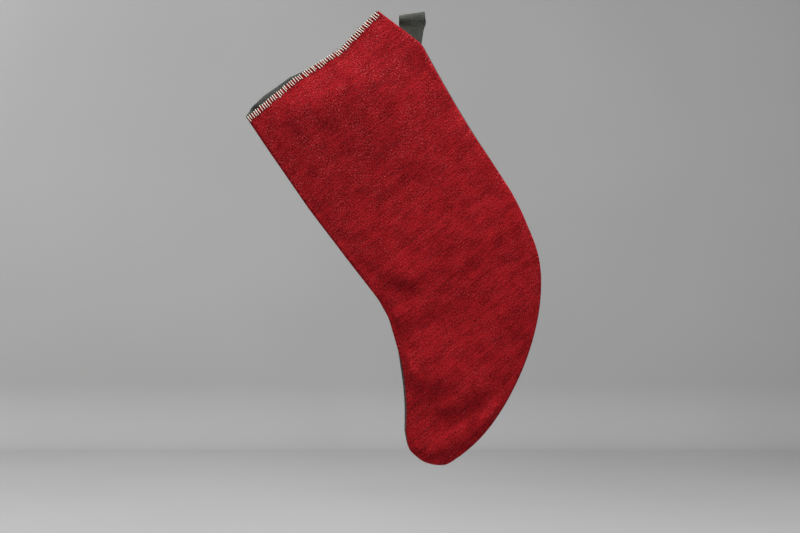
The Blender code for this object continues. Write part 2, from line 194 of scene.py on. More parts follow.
lamp("overhead", (0.08, -0.62, 1.45), (0.0, 0.0, -0.25), 0.9, 53.0)
lamp("heel_edge", (1.25, 0.3, 0.75), (0.08, 0.0, -0.15), 0.5, 3.5)
lamp("behind", (-0.3, 1.5, 1.4), (0.0, 0.0, -0.25), 1.0, 8.0)
lamp("wall_wash", (-2.3, 1.2, 1.4), (-1.3, 2.6, 0.0), 1.2, 30.0)
world = bpy.data.worlds.new("room")
world.use_nodes = True
world.node_tree.nodes["Background"].inputs["Color"].default_value = colour(0.96, 0.98, 1.0)
world.node_tree.nodes["Background"].inputs["Strength"].default_value = 0.355
bpy.context.scene.world = world


# The front panel. One piece of heavy flat-woven wool, cut to the stocking's pattern with 8 mm
# allowances that turn in at the seam. It hangs with soft drag folds over the ankle and foot.
# Sizes are in mm: in the pattern u runs across the mouth from its toe side, and v down the leg.
HANG_TILT = math.radians(39.4)
LOOP_SEAM_U, LOOP_SEAM_V = 179.167, 39.5
LOOP_SEAM_X, LOOP_SEAM_Z = -1.5, -21.8
MOUTH_WIDTH = 170.0
LEG_LENGTH = 225.0
MOUTH_FADE = 70.0
SWELL_REACH = 16.0
SEAM_HALF_GAP = 0.15
ALLOWANCE = 8.0
ALLOWANCE_SPREAD = 0.8
LEG_ROWS = 132
SHOULDER_ROWS = 31
FOOT_ROWS = 144
ACROSS = 104
ROW_STEP = LEG_LENGTH / LEG_ROWS


def place(u, v, y):
    """A pattern point, u across and v down the leg in mm, where it hangs, in mm."""
    du, dv = u - LOOP_SEAM_U, v - LOOP_SEAM_V
    x = LOOP_SEAM_X + du * math.cos(HANG_TILT) + dv * math.sin(HANG_TILT)
    z = LOOP_SEAM_Z + du * math.sin(HANG_TILT) - dv * math.cos(HANG_TILT)
    return np.stack(np.broadcast_arrays(x, y, z), axis=-1)


def smooth_path(points, count):
    """count + 1 points, evenly spaced, on a smooth curve through the given ones."""
    knots = np.array(points, float)
    knots = np.vstack([2 * knots[0] - knots[1], knots, 2 * knots[-1] - knots[-2]])
    t = np.linspace(0, 1, 24, endpoint=False)[:, None]
    dense = []
    for a, b, c, d in zip(knots, knots[1:], knots[2:], knots[3:]):
        bow, turn = 2 * a - 5 * b + 4 * c - d, 3 * b - a - 3 * c + d
        dense.append(0.5 * (2 * b + (c - a) * t + bow * t ** 2 + turn * t ** 3))
    dense = np.vstack(dense + [knots[-2:-1]])
    run = np.concatenate([[0], np.cumsum(np.linalg.norm(np.diff(dense, axis=0), axis=1))])
    at = np.linspace(0, run[-1], count + 1)
    return np.column_stack([np.interp(at, run, column) for column in dense.T])


def soft_step(x):
    x = np.clip(x, 0.0, 1.0)
    return x * x * (3 - 2 * x)


def eased(path, reach):
    """The path with its kinks eased over a few points, its ends kept."""
    wide = np.vstack([2 * path[0] - path[reach:0:-1], path, 2 * path[-1] - path[-2:-reach - 2:-1]])
    weights = np.hanning(2 * reach + 3)[1:-1]
    return np.column_stack([np.convolve(column, weights / weights.sum(), "valid") for column in wide.T])


toe_side_leg = smooth_path([(0, 0), (-5, 50), (-8.5, 105), (-10.5, 165), (-13.5, 225)], LEG_ROWS)
toe_side_foot = smooth_path([(-13.5, 225), (-20.5, 254), (-38, 291), (-59, 323), (-76, 342.5)], FOOT_ROWS)
toe_round = smooth_path([(-76, 342.5), (-84, 356.5), (-84.5, 366), (-80, 380), (-67, 392.8), (-50, 395)],
                        ACROSS)
shoulder = smooth_path([(170, 0), (182.3, 53)], SHOULDER_ROWS)
heel_leg = smooth_path([(182.3, 53), (173.5, 100), (165.7, 150), (161.5, 190), (157.5, 225)],
                       LEG_ROWS - SHOULDER_ROWS)
sole = smooth_path([(157.5, 225), (150.5, 254), (135, 295), (106, 330), (66, 360), (22, 381.5), (-20, 393),
                    (-50, 395)], FOOT_ROWS)
toe_side = eased(np.vstack([toe_side_leg, toe_side_foot[1:]]), 5)
heel_side = eased(np.vstack([shoulder, heel_leg[1:], sole[1:]]), 4)
ROWS = len(toe_side)
seam = np.vstack([toe_side, toe_round[1:-1], heel_side[::-1]])
seam_run = np.concatenate([[0], np.cumsum(np.linalg.norm(np.diff(seam, axis=0), axis=1))])
ahead = np.gradient(eased(seam, 6), axis=0)
ahead /= np.linalg.norm(ahead, axis=1)[:, None]
inwards = np.column_stack([ahead[:, 1], -ahead[:, 0]])


def depth_inside(points, outline):
    """How far pattern points are from this outline."""
    start = outline[:-3:3]
    run = outline[3::3] - start
    run = run[:len(start)]
    nearest = []
    for part in np.array_split(points.reshape(-1, 2), 24):
        away = part[:, None] - start
        along = np.clip((away * run).sum(2) / (run ** 2).sum(1), 0, 1)
        nearest.append(np.linalg.norm(away - run * along[..., None], axis=2).min(1))
    return np.concatenate(nearest).reshape(points.shape[:-1])


def lumps(points, size, seed, way=(1.0, 1.0)):
    """Smooth unevenness between -1 and 1 at pattern points, in lumps of this size in mm."""
    lattice = np.random.default_rng(seed).uniform(-1, 1, (97, 97))
    at = points * np.array(way) / size
    low = np.floor(at).astype(int)
    part = soft_step(at - low)
    corner = [lattice[(low[..., 0] + i) % 97, (low[..., 1] + j) % 97] for j in (0, 1) for i in (0, 1)]
    near = corner[0] * (1 - part[..., 0]) + corner[1] * part[..., 0]
    far = corner[2] * (1 - part[..., 0]) + corner[3] * part[..., 0]
    return near * (1 - part[..., 1]) + far * part[..., 1]


class Cloth:
    """One panel: a grid of face points from mouth to toe, and the edge that turns in at the seam.

    side is -1 for the front and 1 for the back, fold the radius at which the edge turns in, and swell
    how far the middle stands off the edge. cut is the mouth's own edge, (u, how far down), and roll how
    far the folded edge rolls out past the seam, at distances along the seam from the mouth's toe side.
    """

    def __init__(self, side, thickness, fold, swell, cut, flat_mouth, roll):
        self.side, self.thickness, self.fold, self.cut = side, thickness, fold, np.array(cut, float)
        self.centre = fold + thickness / 2
        self.roll = np.interp(seam_run, *np.array(roll, float).T)[:, None]
        edge = seam + inwards * (self.centre - self.roll)
        left, toe, right = edge[:ROWS], edge[ROWS - 1:-ROWS + 1], edge[-ROWS:][::-1]
        down = (np.linspace(0, 1, ROWS) ** 3)[:, None, None]
        across = np.linspace(0, 1, ACROSS + 1)[None, :, None]
        chord = toe[0] + (toe[-1] - toe[0]) * across
        self.flat = left[:, None] * (1 - across) + right[:, None] * across + down * (toe[None] - chord)
        depth = depth_inside(self.flat, edge)
        rise = 1 - np.exp(-depth / SWELL_REACH)
        if flat_mouth:
            rise = rise * (0.3 + 0.7 * soft_step(self.flat[..., 1] / 90.0))
        self.depth = depth
        height = self.half_gap(self.flat, depth) + thickness / 2 + 2 * fold + swell * rise
        self.face = self.hung(self.flat, height)

    def half_gap(self, points, depth):
        """Half the gap between the two cloths: the tape's ends open it at the loop."""
        beyond = np.maximum(np.abs(points[..., 1] - LOOP_SEAM_V) - 15.3, 0.0)
        near = (1 - soft_step(beyond / 18.0)) * (1 - soft_step(depth / 60.0))
        return SEAM_HALF_GAP + 1.5 * near * (points[..., 0] > MOUTH_WIDTH / 2)

    def hung(self, points, height):
        """Pattern points at a height off the seam plane, with the mouth's own cut, where they hang."""
        u, v = points[..., 0], points[..., 1]
        fade = np.maximum(0, 1 - np.maximum(v, 0) / MOUTH_FADE) ** 2
        cut = np.interp(u, self.cut[:, 0], self.cut[:, 1]) * fade
        return place(u, v + cut, self.side * height)

    def turned_in(self, depth, height):
        """A line of points along the whole seam on the allowance, this deep and high."""
        return self.hung(seam + inwards * depth, self.half_gap(seam, 0.0) + height)

    def edge_strip(self):
        """Lines of points from the face's edge round the fold to the allowance's raw edge, and their
        flat places."""
        lines, flats = [], []
        for turn in np.linspace(math.pi, 0, 7)[1:]:
            reach = self.centre - self.fold * math.sin(turn) - self.roll * (1 - math.cos(turn)) / 2
            lines.append(self.turned_in(reach, self.thickness / 2 + self.fold * (1 - math.cos(turn))))
            flats.append(seam + inwards * (self.centre - self.fold * (math.pi - turn)))
        for depth in (self.centre + 1.5, (self.centre + 8.5) / 2, 7.0, ALLOWANCE):
            spread = ALLOWANCE_SPREAD * max(depth - self.fold, 0.0) / ALLOWANCE
            lines.append(self.turned_in(depth, self.thickness / 2 + spread))
            flats.append(seam + inwards * (2 * self.centre - math.pi * self.fold - depth))
        return np.array(lines), np.array(flats)

    def outward(self):
        """The way each face point looks, away from the pocket."""
        down = np.gradient(self.face, axis=0)
        across = np.gradient(self.face, axis=1)
        normal = np.cross(across, down)
        normal /= np.linalg.norm(normal, axis=-1)[..., None]
        return normal * np.sign(normal[..., 1:2] * self.side)

    def at(self, row, column, lift=0.0):
        """Places on the face at fractional rows and columns, lifted off the cloth's middle."""
        row, column, lift = np.broadcast_arrays(row, column, lift)
        low = np.clip(np.floor(row).astype(int), 0, ROWS - 2)
        left = np.clip(np.floor(column).astype(int), 0, ACROSS - 1)
        down, over = (row - low)[..., None], (column - left)[..., None]

        def between(grid):
            near = grid[low, left] * (1 - over) + grid[low, left + 1] * over
            far = grid[low + 1, left] * (1 - over) + grid[low + 1, left + 1] * over
            return near * (1 - down) + far * down

        return between(self.face) + between(self.outward()) * np.asarray(lift)[..., None]

    def by_mouth(self, u, down, lift):
        """A place by the mouth edge, u across and down from it, also round the folds at its ends."""
        column = np.interp(u, self.flat[0, :, 0], np.arange(ACROSS + 1))
        spot = self.at(down / ROW_STEP, column, lift)
        short = self.centre - min(u, MOUTH_WIDTH - u)
        if short > 0:
            radius = max(self.fold + lift, 0.3)
            short = min(short, radius * 0.98)
            side_u = self.centre - short if u < MOUTH_WIDTH / 2 else MOUTH_WIDTH - self.centre + short
            height = SEAM_HALF_GAP + self.thickness / 2 + self.fold + math.sqrt(radius ** 2 - short ** 2)
            spot = self.hung(np.array([side_u, down]), height)
        return spot

    def settle(self, slack, softness, cap, share=1.0):
        """Hangs the face between its seams as real cloth, a little larger than its outline, and keeps share
        of how far each point moved, softly capped at cap mm and less near the seams."""
        step = 3
        coarse = self.face[::step, ::step]
        rows, columns = coarse.shape[:2]
        mesh = bpy.data.meshes.new("settling")
        mesh.from_pydata((coarse.reshape(-1, 3) * MM * 10).tolist(), [], net(rows, columns).tolist())
        sheet = bpy.data.objects.new("settling", mesh)
        bpy.context.scene.collection.objects.link(sheet)
        number = np.arange(rows * columns).reshape(rows, columns)
        held = np.unique(np.concatenate([number[:, 0], number[:, -1], number[-1]]))
        sheet.vertex_groups.new(name="seam").add(held.tolist(), 1.0, "REPLACE")
        cloth = sheet.modifiers.new("cloth", "CLOTH")
        cloth.settings.quality = 6
        cloth.settings.mass = 0.4
        cloth.settings.tension_stiffness = 30
        cloth.settings.compression_stiffness = 30
        cloth.settings.shear_stiffness = 10
        cloth.settings.bending_stiffness = softness
        cloth.settings.shrink_min = -slack
        cloth.settings.vertex_group_mass = "seam"
        cloth.settings.effector_weights.gravity = 0.5
        cloth.point_cache.frame_end = 40
        scene = bpy.context.scene
        for moment in range(1, 41):
            scene.frame_set(moment)
        settled = sheet.evaluated_get(bpy.context.evaluated_depsgraph_get()).to_mesh()
        rest = np.empty(rows * columns * 3)
        settled.vertices.foreach_get("co", rest)
        moved = rest.reshape(rows, columns, 3) / MM / 10 - coarse
        bpy.data.objects.remove(sheet)
        scene.frame_set(1)
        size = np.linalg.norm(moved, axis=-1)[..., None] + 1e-9
        moved *= share * cap * np.tanh(size / cap) / size
        fine_rows, fine_columns = np.arange(ROWS) / step, np.arange(ACROSS + 1) / step
        moved = np.stack([np.stack([np.interp(fine_columns, np.arange(columns), line) for line in layer])
                          for layer in np.moveaxis(moved, 2, 0)], axis=2)
        moved = np.stack([np.stack([np.interp(fine_rows, np.arange(rows), line) for line in layer.T]).T
                          for layer in np.moveaxis(moved, 2, 0)], axis=2)
        self.face = self.face + moved * soft_step(self.depth / 14.0)[..., None]

    def fold_along(self, start, end, above, below, height):
        """A soft fold between two hanging places (x, z) in mm, this wide above and below its crest;
        a negative height is a crease."""
        start, run = np.array(start, float), np.array(end, float) - start
        spot = self.face[..., (0, 2)] - start
        along = np.clip((spot * run).sum(-1) / (run ** 2).sum(), 0, 1)
        away = spot - run * along[..., None]
        upper = soft_step(0.5 + away[..., 1] / (np.linalg.norm(away, axis=-1) + 3.0))
        width = below + (above - below) * upper
        pinned = soft_step(self.depth / 6.0)
        self.face[..., 1] += self.side * height * np.exp(-(away ** 2).sum(-1) / width ** 2) * pinned

    def billow(self, toe_reach, heel_reach, leg_side, height):
        """The panel leans out below the mouth to a soft crest across the leg, less at its toe side."""
        u, v = self.flat[..., 0], self.flat[..., 1]
        crest = 20 + 0.25 * u
        rise = soft_step(v / crest) * np.where(v > crest, np.exp(-((v - crest) / leg_side) ** 2), 1.0)
        reach = toe_reach + (heel_reach - toe_reach) * np.clip(u / MOUTH_WIDTH, 0, 1)
        rise *= soft_step(self.depth / reach) * (0.25 + 0.75 * soft_step((u + 20) / 90))
        self.face[..., 1] += self.side * height * rise

    def unevenness(self, size, amount, seed, way=(1.0, 1.0)):
        pinned = soft_step(self.depth / 5.0)
        self.face[..., 1] += self.side * amount * lumps(self.flat, size, seed, way) * pinned

    def made(self, name, material, hem=None):
        """The panel as one solid sheet, with its cloth places kept for the weave."""
        strip, strip_flat = self.edge_strip()
        count = strip.shape[1]
        grid = self.face.reshape(-1, 3)
        points = [grid, strip.reshape(-1, 3)]
        flats = [self.flat.reshape(-1, 2), strip_flat.reshape(-1, 2)]
        number = np.arange(len(grid)).reshape(ROWS, ACROSS + 1)
        rim = np.concatenate([number[:, 0], number[-1, 1:-1], number[::-1, -1]])
        faces = [net(ROWS, ACROSS + 1), net(len(strip), count, len(grid))]
        first = len(grid) + np.arange(count)
        faces.append(np.stack([rim[1:], rim[:-1], first[:-1], first[1:]], axis=1)[:, ::-1])
        if hem is not None:
            hem_points, hem_flat = hem
            start = sum(map(len, points))
            points.append(hem_points.reshape(-1, 3))
            flats.append(hem_flat.reshape(-1, 2))
            faces.append(net(*hem_points.shape[:2], start))
            faces.append(np.stack([number[0, :-1], number[0, 1:], start + 1 + np.arange(ACROSS),
                                   start + np.arange(ACROSS)], axis=1)[:, ::-1])
        faces = np.vstack(faces)
        if self.side > 0:
            faces = faces[:, ::-1]
        panel = shown(name, np.vstack(points) * MM, faces, material)
        cloth_places = panel.data.attributes.new("cloth", "FLOAT_VECTOR", "POINT")
        flats = np.vstack(flats)
        cloth_places.data.foreach_set("vector", np.column_stack([flats, np.zeros(len(flats))]).ravel())
        thick = panel.modifiers.new("cloth_thickness", "SOLIDIFY")
        thick.thickness = self.thickness * MM
        thick.offset = 0.0
        return panel


def wool(shade):
    places = shade.node("Attribute", {"attribute_name": "cloth"}, out="Vector")
    drift = places.mottle(5.0, 4.0) - 0.5
    across = shade.node("SeparateXYZ", None, {0: places}, "X")
    down = shade.node("SeparateXYZ", None, {0: places}, "Y")
    rib = (across + drift * 3.4) / 2.0
    beat = (down + (places.mottle(7.0, 3.0) - 0.5) * 3.0) / 1.3 + rib.maths("FLOOR", rib) * 0.5
    height = rib.wave() ** 0.7 * (0.55 + 0.45 * beat.wave())
    knots = places.stretched(1.0, 0.75).mottle(1.5, 2.0).from_to(0.3, 0.7)
    fuzz = places.mottle(0.8, 3.0).from_to(0.3, 0.75)
    streaks = places.stretched(0.1, 1.0).mottle(2.2, 3.0).from_to(0.3, 0.7)
    bands = places.stretched(0.02, 1.0).mottle(10.0, 2.0).from_to(0.3, 0.7)
    clouds = places.mottle(13.0, 3.0).from_to(0.3, 0.7)
    # painted shade: the wool's colour darkens in the weave's furrows and low places, following the same
    # rib, knot and fuzz heights as the bump; the streaks, bands and clouds are the yarn's own uneven tone
    depth = height * 0.2 + knots * 0.26 + fuzz * 0.2 + streaks * 0.14 + bands * 0.08 + clouds * 0.12
    red = depth.from_to(0.12, 0.9).mixed(colour(0.085, 0.0015, 0.003), colour(0.42, 0.012, 0.017))
    patches = places.mottle(22.0, 2.0).from_to(0.4, 0.62)
    specks = places.stretched(1.0, 0.5).mottle(0.9, 2.0).from_to(0.56, 0.68)
    # painted light: the pale specks are the wool's own, but they grow denser towards the mouth, which
    # paints the upper leg lighter where the overhead light falls strongest; the same ramp also strengthens
    # the bump there
    toward_mouth = down.from_to(250.0, 40.0)
    specked = specks * (0.1 + toward_mouth * 0.16 + patches * (0.2 + toward_mouth * 0.25))
    red = specked.mixed(red, colour(0.66, 0.1, 0.11))
    relief = (height * 0.7 + knots * 0.8 + fuzz * 0.5) * (0.75 + toward_mouth * 0.5)
    bump = shade.node("Bump", None, {"Height": relief, "Distance": 0.5 * MM, "Strength": 0.85})
    return {"Base Color": red, "Roughness": 1.0, "Normal": bump, "Specular IOR Level": 0.06,
            "Sheen Weight": 0.3, "Sheen Roughness": 0.25, "Sheen Tint": colour(1.0, 0.14, 0.26)}


wool_cloth = finish("wool_front", wool)
front = Cloth(side=-1, thickness=2.2, fold=1.9, swell=2.2, flat_mouth=True,
              cut=[(0, 0), (30, -0.8), (57, -1.4), (85, 1.5), (116, 5.6), (143, 2), (170, 0)],
              roll=[(0, 0), (60, 0), (110, 2.0), (170, 2.4), (215, 1.0), (243, 0.2), (257, 1.8), (272, 1.8),
                    (300, 0), (375, 0), (400, 1.0), (425, 2.0), (445, 3.4), (482, 4.0), (520, 3.3),
                    (603, 2.9), (650, 2.2), (700, 1.2), (800, 0.6), (937, 0.2)])
front.settle(slack=0.012, softness=12.0, cap=5.0, share=0.3)
front.billow(toe_reach=50.0, heel_reach=80.0, leg_side=50.0, height=9.0)
# the leg's soft swells, across it and down its heel side
front.fold_along((20, -90), (60, -140), 30, 20, 1.5)
front.fold_along((-30, -130), (10, -150), 25, 30, 1.5)
front.fold_along((50, -225), (90, -215), 25, 30, 2.5)
# its hollows: under the loop, on the toe side, in the middle and down the heel side
front.fold_along((-5, -60), (20, -100), 20, 20, -2.5)
front.fold_along((-95, -115), (-80, -125), 15, 15, -1.5)
front.fold_along((-45, -145), (-30, -150), 15, 15, -1.5)
front.fold_along((50, -140), (75, -180), 15, 15, -2.0)
front.fold_along((85, -215), (105, -260), 20, 20, -3.0)
# the two folds that frame the ankle's dimple
front.fold_along((-20, -260), (0, -265), 15, 10, 3.5)
front.fold_along((-10, -310), (5, -300), 15, 10, 3.5)
# the foot's bulge, and the two folds that end it above the toe
front.fold_along((25, -360), (50, -360), 30, 25, 4.0)
front.fold_along((-5, -355), (30, -370), 15, 10, 3.0)
front.fold_along((35, -395), (65, -380), 15, 10, 3.5)
# the heel's edge
front.fold_along((115, -265), (105, -305), 20, 20, 2.5)
# the toe's, along the sole and in its corner
front.fold_along((35, -430), (85, -400), 10, 10, 3.5)
front.fold_along((0, -435), (15, -440), 10, 10, 2.0)
front.unevenness(46.0, 0.8, 11)
front.unevenness(19.0, 0.5, 5, (1.0, 0.7))
front.unevenness(8.0, 0.2, 3, (0.7, 1.0))
front_cloth = front.made("front_cloth", wool_cloth)
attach(front_cloth, "stocking")
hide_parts("front_panel")


# The back panel. Charcoal cotton canvas cut from the same pattern, fuller than the front, its
# mouth turned in 11 mm for a hem.
def canvas(dark, light, fleck):
    """Plain-weave canvas between these colours, with paler flecks in its yarn."""
    def look(shade):
        places = shade.node("Attribute", {"attribute_name": "cloth"}, out="Vector")
        across = shade.node("SeparateXYZ", None, {0: places}, "X")
        down = shade.node("SeparateXYZ", None, {0: places}, "Y")
        over = (across + (places.mottle(6.0) - 0.5) * 0.7) / 0.62
        under = (down + (places.mottle(5.0) - 0.5) * 0.7) / 0.62
        weave = over.wave() * 0.5 + under.wave() * 0.5
        slubs_across = places.stretched(0.08, 1.0).mottle(0.9, 3.0)
        slubs = slubs_across * 0.5 + places.stretched(1.0, 0.08).mottle(0.9, 3.0) * 0.5
        # painted shade: the canvas grey darkens between its threads and slubs, following the same weave and
        # slub heights as the bump; the broad mottle is the yarn's own uneven tone
        depth = weave * 0.35 + slubs * 0.75 + places.mottle(25.0, 3.0) * 0.25
        grey = depth.from_to(0.45, 1.0).mixed(colour(*dark), colour(*light))
        flecks = places.mottle(0.9, 2.0).from_to(0.58, 0.7)
        grey = (flecks * 0.3).mixed(grey, colour(*fleck))
        bump = shade.node("Bump", None, {"Height": weave + slubs, "Distance": 0.16 * MM, "Strength": 0.8})
        return {"Base Color": grey, "Roughness": 0.9, "Normal": bump, "Specular IOR Level": 0.25,
                "Sheen Weight": 0.12, "Sheen Roughness": 0.5}
    return look


canvas_cloth = finish("canvas", canvas((0.02, 0.022, 0.02), (0.08, 0.087, 0.079), (0.22, 0.23, 0.2)))
back = Cloth(side=1, thickness=0.9, fold=1.0, swell=13.4, flat_mouth=False,
             cut=[(0, -3), (12, -7), (28, -9), (60, -7.5), (90, 0.5), (116, 6.5), (143, 4), (170, 2)],
             roll=[(0, 0.3), (262, 0.3), (296, 2.6), (345, 2.6), (366, 1.5), (380, 0.4), (430, 0.6),
                   (482, 2.6), (603, 1.8), (740, 1.4), (800, 1.9), (900, 1.7), (937, 0.5)])
back.settle(slack=0.02, softness=1.5, cap=7.0)
back.unevenness(30.0, 0.8, 21)
back.unevenness(12.0, 0.25, 22)
columns = np.arange(ACROSS + 1)
# the turned-in hem, as (down from the mouth, lift off the cloth), from its fold to its inner edge
hem_lines = [(-0.45, -0.35), (-0.45, -1.15), (0.3, -1.5), (1.7, -1.5),
             (4.0, -1.45), (6.5, -1.5), (8.5, -1.35), (11.0, -1.5)]
hem_points = np.array([back.at(down / ROW_STEP, columns, inset) for down, inset in hem_lines])
hem_flat = np.array([np.column_stack([back.flat[0, :, 0], np.full(ACROSS + 1, -1.5 - down)])
                     for down, _ in hem_lines])
back_cloth = back.made("back_cloth", canvas_cloth, (hem_points, hem_flat))
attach(back_cloth, "stocking")
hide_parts("back_panel")


# The mouth overlock. Cream two-ply thread wrapped over the wool's raw mouth edge: a stitch down
# the front, over the edge and back on the inside, 2.7 mm apart and never quite even.
def thread_tube(path, radius, sides=6, lay=1.5):
    """Points and faces of a two-ply thread along a path in mm."""
    ahead = np.gradient(path, axis=0)
    ahead /= np.linalg.norm(ahead, axis=1)[:, None] + 1e-9
    side = np.cross(ahead[0], (0.31, 0.87, 0.39))
    frames = []
    for way in ahead:
        side = side - way * side.dot(way)
        side = side / np.linalg.norm(side)
        frames.append(side)
    frames = np.array(frames)
    other = np.cross(ahead, frames)
    run = np.concatenate([[0], np.cumsum(np.linalg.norm(np.diff(path, axis=0), axis=1))])
    turn = np.linspace(0, 2 * math.pi, sides, endpoint=False)
    ply = radius * (1 + 0.2 * np.cos(2 * turn - 2 * math.pi * run[:, None] / lay))
    ring = frames[:, None] * np.cos(turn)[:, None] + other[:, None] * np.sin(turn)[:, None]
    return (path[:, None] + ring * ply[..., None]).reshape(-1, 3), net(len(path), sides, closed=True)


def threads(name, paths, radius, material, sides=6, lay=1.5):
    """One object from several lengths of thread, their ends closed."""
    points, faces, ends, start = [], [], [], 0
    for path in paths:
        ring_points, ring_faces = thread_tube(path, radius, sides, lay)
        points.append(ring_points)
        faces += (ring_faces + start).tolist()
        ends.append(list(range(start, start + sides)))
        ends.append(list(range(start + len(ring_points) - 1, start + len(ring_points) - sides - 1, -1)))
        start += len(ring_points)
    mesh = bpy.data.meshes.new(name)
    mesh.from_pydata((np.vstack(points) * MM).tolist(), [], faces + ends)
    mesh.shade_smooth()
    mesh.materials.append(material)
    piece = bpy.data.objects.new(name, mesh)
    bpy.context.scene.collection.objects.link(piece)
    return piece


def spun(dark, light, fluff):
    """A spun thread's finish, from the painted shade in its twist to the colour of its fibres."""
    def look(shade):
        places = shade.node("TexCoord", out="Object")
        fibres = places.mottle(0.35 * MM, 3.0)
        uneven = places.mottle(3.0 * MM, 2.0)
        # painted shade: the tone darkens where the fibres' bump dips, and the slower noise gives the
        # thread's own uneven tone
        tone = (fibres * 0.7 + uneven * 0.5).from_to(0.35, 0.85).mixed(colour(*dark), colour(*light))
        bump = shade.node("Bump", None, {"Height": fibres, "Distance": 0.12 * MM, "Strength": 0.7})
        return {"Base Color": tone, "Roughness": 0.85, "Normal": bump, "Specular IOR Level": 0.25,
                "Sheen Weight": fluff, "Sheen Roughness": 0.5}
    return look


cream_thread = finish("cream_thread", spun((0.5, 0.4, 0.31), (0.93, 0.87, 0.77), 0.2))
chance = np.random.default_rng(7)
STITCH_PITCH = 2.7
STITCHES = 62
FIRST_STITCH = 1.2
overlock = []
for stitch in range(STITCHES):
    u = min(max(FIRST_STITCH + STITCH_PITCH * stitch + chance.normal(0, 0.3), 0.7), 169.3)
    lean = chance.normal(0.05, 0.22)
    reach = chance.uniform(3.2, 5.4)
    proud = chance.uniform(0.7, 1.5)
    # down from the mouth, aside and lift: down the front, over the raw edge and back inside
    steps = [(reach, 0.1, 1.3), (reach * 0.55, lean * 0.5, 1.62), (0.5, lean, 1.6),
             (-proud, lean + 0.05, 0.95), (-proud, lean + 0.1, -0.6),
             (1.2, lean + 0.3, -1.5), (reach * 0.7, lean + 1.2, -1.5)]
    for down, aside, lift in steps:
        overlock.append(front.by_mouth(min(max(u + aside, 0.6), 169.4), down, lift))
overlock = np.array(overlock)
mouth_path = smooth_path(overlock, len(overlock) * 5)
mouth_thread = threads("mouth_overlock_thread", [mouth_path], 0.44, cream_thread, 7)
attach(mouth_thread, "stocking")
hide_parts("mouth_overlock")


# The wool's own yarn ends stand up between the stitches along the raw mouth edge,
# and a few loose fibres lie on the nap and stick out at the seam.
def hairs(name, roots, ways, lengths, radius, material):
    """Short curved fibres from their roots."""
    paths = []
    for root, way, length in zip(roots, ways, lengths):
        way = way / np.linalg.norm(way)
        bend = chance.normal(0, 0.35, 3)
        share = np.linspace(0, 1, 5)[:, None]
        paths.append(root + (way * share + bend * share ** 2 * 0.6) * length)
    return threads(name, paths, radius, material, 3, 50.0)


red_yarn = finish("red_yarn", spun((0.04, 0.0015, 0.003), (0.2, 0.008, 0.012), 0.05))
roots, ways, lengths = [], [], []
up_leg = place(0.0, -1.0, 0.0) - place(0.0, 0.0, 0.0)
for stitch in range(STITCHES):
    for strand in range(6):
        u = FIRST_STITCH + STITCH_PITCH * (stitch + 0.55) + chance.uniform(-0.7, 0.7)
        roots.append(front.by_mouth(min(u, 168.9), 0.4, chance.uniform(-0.7, 0.7)))
        ways.append(up_leg + chance.normal(0, 0.2, 3))
        lengths.append(chance.uniform(1.0, 2.3))
yarn_ends = hairs("mouth_yarn_ends", roots, ways, lengths, 0.27, red_yarn)
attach(yarn_ends, "stocking")

roots, ways, lengths = [], [], []
nap = front.outward()
for fibre in range(420):
    row, column = chance.integers(2, ROWS - 2), chance.integers(1, ACROSS)
    roots.append(front.face[row, column] + nap[row, column] * 1.0)
    ways.append(nap[row, column] * 0.25 + chance.normal(0, 0.45, 3))
    lengths.append(chance.uniform(0.7, 1.8))
rim_line = front.turned_in(0.0, front.thickness / 2 + front.fold)
for fibre in range(320):
    spot = chance.integers(3, len(rim_line) - 3)
    outside = place(*-inwards[spot], 0.0) - place(0.0, 0.0, 0.0)
    roots.append(rim_line[spot] + np.array([0, chance.uniform(-1.6, 1.0), 0]) + outside * 0.8)
    ways.append(outside + chance.normal(0, 0.55, 3))
    lengths.append(chance.uniform(0.5, 1.9))
nap_fibre = finish("nap_fibre", spun((0.28, 0.03, 0.035), (0.62, 0.2, 0.2), 0.3))
loose_fibres = hairs("loose_fibres", roots, ways, lengths, 0.055, nap_fibre)
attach(loose_fibres, "stocking")


# The edge overlocks. Each allowance's raw edge is wrapped in the same cream thread, inside
# the stocking, before the two panels are sewn together.
def edge_overlock(name, cloth, node):
    first = np.searchsorted(seam[:, 1], 9.0)
    start, end = seam_run[first], seam_run[-1] - seam_run[first]
    count = int((end - start) / 2.6)
    half = cloth.thickness / 2
    path = []
    for stitch in range(count):
        swap = stitch % 2
        wraps = [(4.6, half + 0.45), (8.1, half + 0.4), (8.35, 0.1), (8.1, -half - 0.25)]
        for step, (depth, lift) in enumerate(wraps[::-1] if swap else wraps):
            along = start + (end - start) * (stitch + step * 0.1) / count
            spread = ALLOWANCE_SPREAD * max(depth - cloth.fold, 0.0) / ALLOWANCE
            line = cloth.turned_in(depth, half + spread + lift)
            path.append([np.interp(along, seam_run, line[:, axis]) for axis in range(3)])
    path = np.array(path)
    piece = threads(name, [smooth_path(path, len(path) * 3)], 0.24, cream_thread, 5)
    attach(piece, "stocking")
    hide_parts(node)
    return piece


edge_overlock("front_edge_overlock_thread", front, "front_edge_overlock")
back_edge_thread = edge_overlock("back_edge_overlock_thread", back, "back_edge_overlock")


# The seam and the hem. Dark grey sewing thread in lockstitches 2.8 mm long: the needle thread
# on one face of the cloth and the bobbin thread on the other, sunk where they lock.
LOCKSTITCH = 2.8
grey_thread = finish("grey_thread", spun((0.03, 0.032, 0.032), (0.13, 0.135, 0.13), 0.1))


